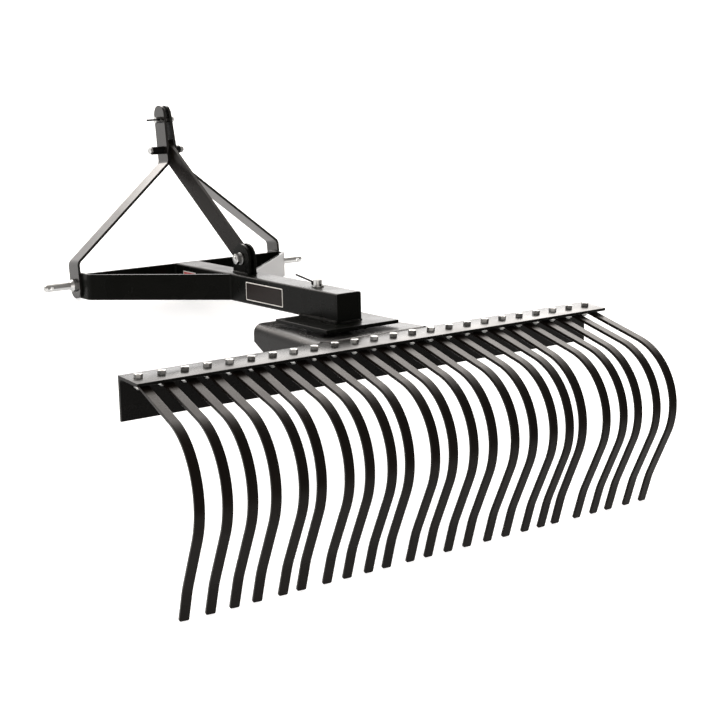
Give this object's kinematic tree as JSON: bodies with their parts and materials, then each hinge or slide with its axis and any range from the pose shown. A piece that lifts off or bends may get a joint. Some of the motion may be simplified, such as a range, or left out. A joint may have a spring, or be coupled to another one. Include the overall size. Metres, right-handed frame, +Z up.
{
  "type": "landscape rake",
  "caption": "Three-point landscape rake: curved flat-bar tines bolted under an angle bar, turned on a king pin below a boom with a lower frame and strap mast.",
  "frame": {"origin": "centre of the bounding box, at floor level", "axes": "+X to the implement's right seen along the direction of travel, +Y forward to the tractor, +Z up, with the rake parked nose down"},
  "size_m": [1.5556, 1.6854, 0.496],
  "materials": {
    "frame_paint": "gloss black powder coat",
    "tine_paint": "gloss black powder coat on spring steel",
    "spacer_paint": "satin black",
    "zinc_bolt": "bright zinc plate",
    "zinc_pin": "bright zinc plate, turned",
    "dark_wire": "dark spring wire"
  },
  "bodies": {
    "hitch": {"boom": "frame_paint", "boom_end_plate": "frame_paint", "brace": "frame_paint", "brace_bolt": "zinc_bolt", "brace_lug_left": "frame_paint", "brace_lug_right": "frame_paint", "cross_bar": "frame_paint", "cross_bolt": "zinc_bolt", "hitch_pin_left": "zinc_pin", "hitch_pin_right": "zinc_pin", "king_pin": "zinc_pin", "linch_pin": "dark_wire", "lock_clip": "dark_wire", "lock_pin": "zinc_pin", "mast_strap_left": "frame_paint", "mast_strap_right": "frame_paint", "side_bar_left": "frame_paint", "side_bar_right": "frame_paint", "spacer_left": "spacer_paint", "spacer_right": "spacer_paint", "top_link_pin": "zinc_pin", "turntable_plate": "frame_paint"},
    "rake_head": {"head_bracket": "frame_paint", "tine_01": "tine_paint", "tine_02": "tine_paint", "tine_03": "tine_paint", "tine_04": "tine_paint", "tine_05": "tine_paint", "tine_06": "tine_paint", "tine_07": "tine_paint", "tine_08": "tine_paint", "tine_09": "tine_paint", "tine_10": "tine_paint", "tine_11": "tine_paint", "tine_12": "tine_paint", "tine_13": "tine_paint", "tine_14": "tine_paint", "tine_15": "tine_paint", "tine_16": "tine_paint", "tine_17": "tine_paint", "tine_18": "tine_paint", "tine_19": "tine_paint", "tine_20": "tine_paint", "tine_21": "tine_paint", "tine_22": "tine_paint", "tine_23": "tine_paint", "tine_24": "tine_paint", "tine_bar": "frame_paint", "tine_bolts": "zinc_bolt"}
  },
  "joints": [
    {"name": "head_swivel", "type": "hinge", "parent": "hitch", "child": "rake_head", "pos_m": [0.01583, -0.21896, 0.31814], "axis": [0, 0.3965, 0.918], "range_deg": [-180, 180]}
  ]
}
